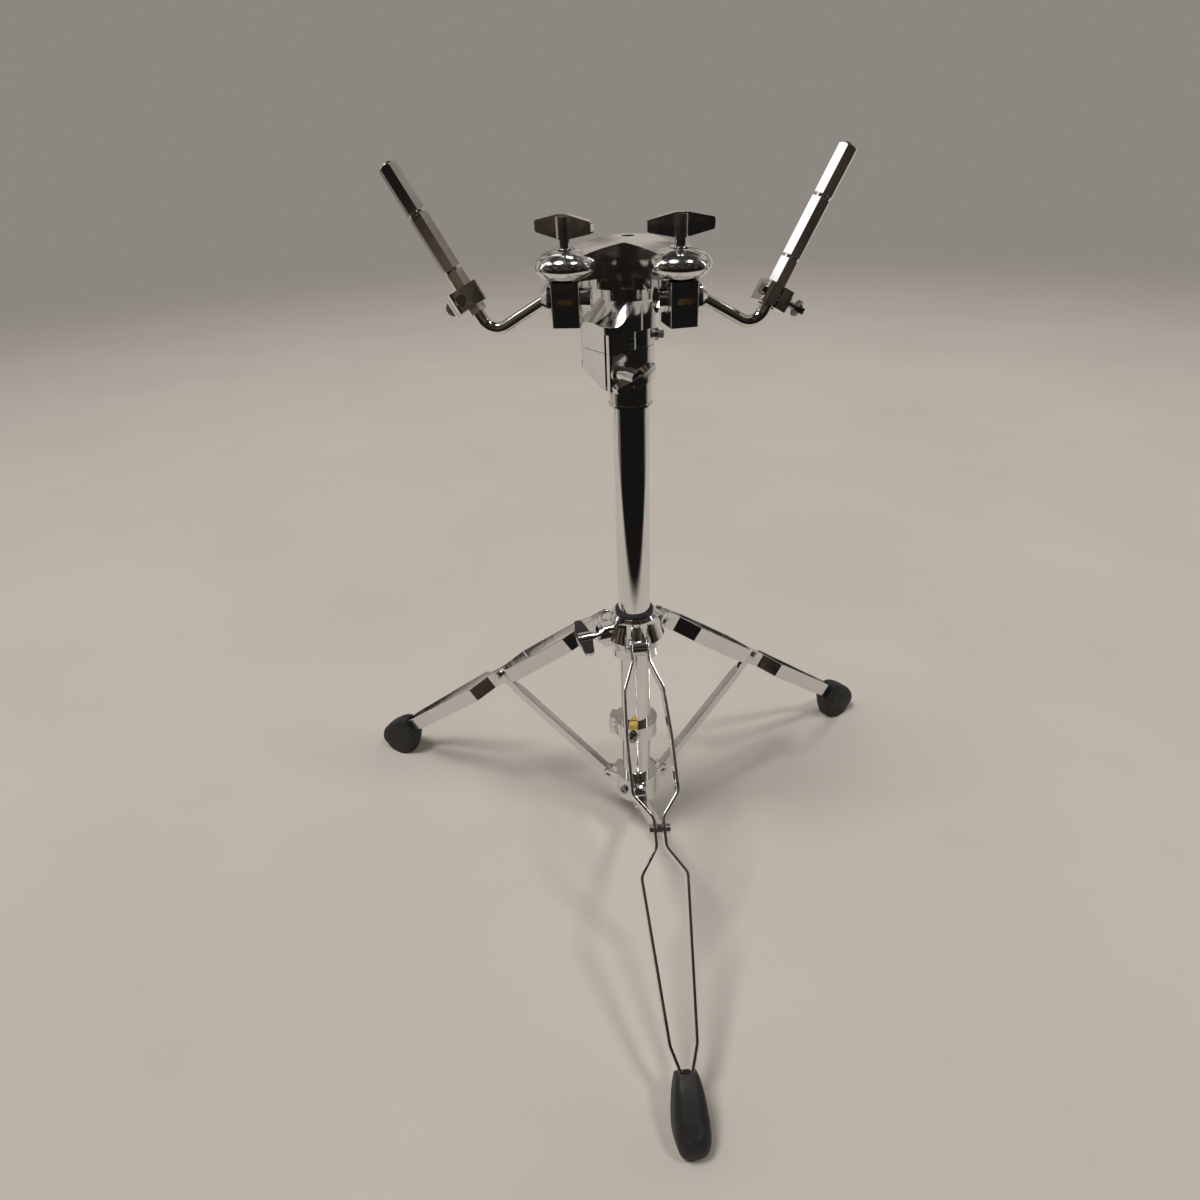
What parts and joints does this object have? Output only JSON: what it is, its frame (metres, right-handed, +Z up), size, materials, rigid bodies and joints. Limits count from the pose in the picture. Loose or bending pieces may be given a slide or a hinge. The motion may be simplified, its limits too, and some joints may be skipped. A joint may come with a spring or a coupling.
{
  "type": "double tom stand",
  "caption": "Chromed folding tripod stand with a telescopic mast and a head whose tilting, swinging L-shaped hexagonal arms carry drums.",
  "frame": {"origin": "on the floor, in the middle of the footprint box of the whole stand as pictured", "axes": "+Z up along the tube, -Y along the front leg, +X to the right seen from the front"},
  "size_m": [0.7712, 0.6714, 0.835],
  "materials": {
    "foot_rubber": "matte",
    "end_cap_plastic": "matte",
    "bushing_nylon_black": "satin",
    "bushing_nylon_grey": "satin",
    "brass": "worn polish",
    "strap_chrome": "polished, lightly pitted",
    "brace_chrome": "polished",
    "tube_chrome": "polished",
    "screw_dark_chrome": "dark polished",
    "wing_chrome": "polished casting",
    "arm_chrome": "polished",
    "cast_chrome": "polished casting",
    "bolt_chrome": "polished"
  },
  "bodies": {
    "column": {"base_tube": "tube_chrome", "tube_end_cap": "end_cap_plastic", "brace_collar": "cast_chrome", "collar_screw": "screw_dark_chrome", "collar_pins": "bolt_chrome", "height_clamp": "cast_chrome", "clamp_bushing": "bushing_nylon_grey", "clamp_bolt": "bolt_chrome"},
    "clamp_wing": {"clamp_wing_nut": "wing_chrome"},
    "base_lock": {"base_lock_ring": "cast_chrome", "base_lock_gate": "cast_chrome", "base_lock_hinge_pin": "cast_chrome", "base_lock_key_bolt": "screw_dark_chrome", "base_lock_brass_nut": "brass"},
    "leg_hub": {"tripod_hub": "cast_chrome", "hub_bushing": "bushing_nylon_black", "hub_pivot_bolts": "bolt_chrome"},
    "hub_wing": {"hub_wing_bolt": "wing_chrome"},
    "mast_lock": {"mast_lock_ring": "cast_chrome", "mast_lock_gate": "cast_chrome", "mast_lock_hinge_pin": "cast_chrome", "mast_lock_key_bolt": "screw_dark_chrome"},
    "mast": {"mast_tube": "tube_chrome", "mast_bushing": "bushing_nylon_black", "head_casting": "cast_chrome", "head_set_screw": "screw_dark_chrome"},
    "brace_front": {"front_brace": "brace_chrome"},
    "leg_front": {"front_leg_strap_a": "strap_chrome", "front_leg_strap_b": "strap_chrome", "front_leg_fasteners": "bolt_chrome", "front_foot": "foot_rubber"},
    "brace_right": {"right_brace": "brace_chrome"},
    "leg_right": {"right_leg_strap_a": "strap_chrome", "right_leg_strap_b": "strap_chrome", "right_leg_fasteners": "bolt_chrome", "right_foot": "foot_rubber"},
    "brace_left": {"left_brace": "brace_chrome"},
    "leg_left": {"left_leg_strap_a": "strap_chrome", "left_leg_strap_b": "strap_chrome", "left_leg_fasteners": "bolt_chrome", "left_foot": "foot_rubber"},
    "left_tilter": {"left_tilter_block": "cast_chrome", "left_tilter_bush": "brass", "left_tilter_stud": "bolt_chrome", "left_tilter_washer": "bolt_chrome"},
    "left_wing": {"left_wing_nut": "wing_chrome"},
    "left_arm": {"left_arm": "arm_chrome"},
    "left_arm_lock": {"left_arm_lock": "cast_chrome", "left_arm_lock_bolt": "screw_dark_chrome"},
    "right_tilter": {"right_tilter_block": "cast_chrome", "right_tilter_bush": "brass", "right_tilter_stud": "bolt_chrome", "right_tilter_washer": "bolt_chrome"},
    "right_wing": {"right_wing_nut": "wing_chrome"},
    "right_arm": {"right_arm": "arm_chrome"},
    "right_arm_lock": {"right_arm_lock": "cast_chrome", "right_arm_lock_bolt": "screw_dark_chrome"}
  },
  "joints": [
    {"name": "front_brace_fold", "type": "hinge", "parent": "column", "child": "brace_front", "pos_m": [0, 0.06531, 0.079], "axis": [-1, 0, 0], "range_deg": [0, 45]},
    {"name": "front_pinch_turn", "type": "hinge", "parent": "brace_front", "child": "leg_front", "pos_m": [0, -0.09819, 0.2035], "axis": [-1, 0, 0], "range_deg": [-90, 0]},
    {"name": "front_hub_turn", "type": "hinge", "parent": "leg_front", "child": "leg_hub", "pos_m": [0, 0.06531, 0.328], "axis": [-1, 0, 0], "range_deg": [0, 45]},
    {"name": "right_brace_fold", "type": "hinge", "parent": "column", "child": "brace_right", "pos_m": [0.03464, 0.12531, 0.079], "axis": [0.5, -0.866, 0], "range_deg": [0, 45]},
    {"name": "right_leg_fold", "type": "hinge", "parent": "leg_hub", "child": "leg_right", "pos_m": [0.03464, 0.12531, 0.328], "axis": [0.5, -0.866, 0], "range_deg": [-45, 0]},
    {"name": "left_brace_fold", "type": "hinge", "parent": "column", "child": "brace_left", "pos_m": [-0.03464, 0.12531, 0.079], "axis": [0.5, 0.866, 0], "range_deg": [0, 45]},
    {"name": "left_leg_fold", "type": "hinge", "parent": "leg_hub", "child": "leg_left", "pos_m": [-0.03464, 0.12531, 0.328], "axis": [0.5, 0.866, 0], "range_deg": [-45, 0]},
    {"name": "base_lock_slide", "type": "slide", "parent": "column", "child": "base_lock", "axis": [0, 0, 1], "range_m": [-0.055, 0.092]},
    {"name": "hub_wing_turn", "type": "hinge", "parent": "leg_hub", "child": "hub_wing", "pos_m": [-0.03898, 0.09631, 0.33], "axis": [-0.9744, -0.225, 0], "continuous": true},
    {"name": "clamp_wing_turn", "type": "hinge", "parent": "column", "child": "clamp_wing", "pos_m": [-0.01494, 0.06734, 0.649], "axis": [0.5373, -0.8434, 0], "continuous": true},
    {"name": "mast_swivel", "type": "hinge", "parent": "column", "child": "mast_lock", "pos_m": [0, 0.10531, 0.676], "axis": [0, 0, 1], "range_deg": [-180, 20]},
    {"name": "mast_rise", "type": "slide", "parent": "mast_lock", "child": "mast", "axis": [0, 0, 1], "range_m": [0, 0.41]},
    {"name": "left_tilter_swing", "type": "hinge", "parent": "mast", "child": "left_tilter", "pos_m": [-0.06082, 0.07261, 0.7185], "axis": [0, 0, 1], "range_deg": [-50, 60]},
    {"name": "left_wing_turn", "type": "hinge", "parent": "left_tilter", "child": "left_wing", "pos_m": [-0.06082, 0.07261, 0.773], "axis": [0, 0, 1], "continuous": true},
    {"name": "left_arm_tilt", "type": "hinge", "parent": "left_tilter", "child": "left_arm", "pos_m": [-0.06082, 0.07261, 0.7185], "axis": [0.9816, -0.1908, 0], "range_deg": [-75, 75]},
    {"name": "left_arm_lock_slide", "type": "slide", "parent": "left_arm", "child": "left_arm_lock", "axis": [-0.475, 0.1769, 0.862], "range_m": [-0.004, 0.1]},
    {"name": "right_tilter_swing", "type": "hinge", "parent": "mast", "child": "right_tilter", "pos_m": [0.03934, 0.04856, 0.7185], "axis": [0, 0, 1], "range_deg": [-84, 26]},
    {"name": "right_wing_turn", "type": "hinge", "parent": "right_tilter", "child": "right_wing", "pos_m": [0.03934, 0.04856, 0.773], "axis": [0, 0, 1], "continuous": true},
    {"name": "right_arm_tilt", "type": "hinge", "parent": "right_tilter", "child": "right_arm", "pos_m": [0.03934, 0.04856, 0.7185], "axis": [0.9903, 0.1392, 0], "range_deg": [-75, 75]},
    {"name": "right_arm_lock_slide", "type": "slide", "parent": "right_arm", "child": "right_arm_lock", "axis": [0.4836, 0.1518, 0.862], "range_m": [0, 0.11]}
  ],
  "couplings": [
    {"joint": "front_pinch_turn", "follows": "front_brace_fold", "ratio": -2},
    {"joint": "front_hub_turn", "follows": "front_brace_fold", "ratio": 1},
    {"joint": "right_brace_fold", "follows": "front_brace_fold", "ratio": 1},
    {"joint": "right_leg_fold", "follows": "front_brace_fold", "ratio": -1},
    {"joint": "left_brace_fold", "follows": "front_brace_fold", "ratio": 1},
    {"joint": "left_leg_fold", "follows": "front_brace_fold", "ratio": -1}
  ]
}
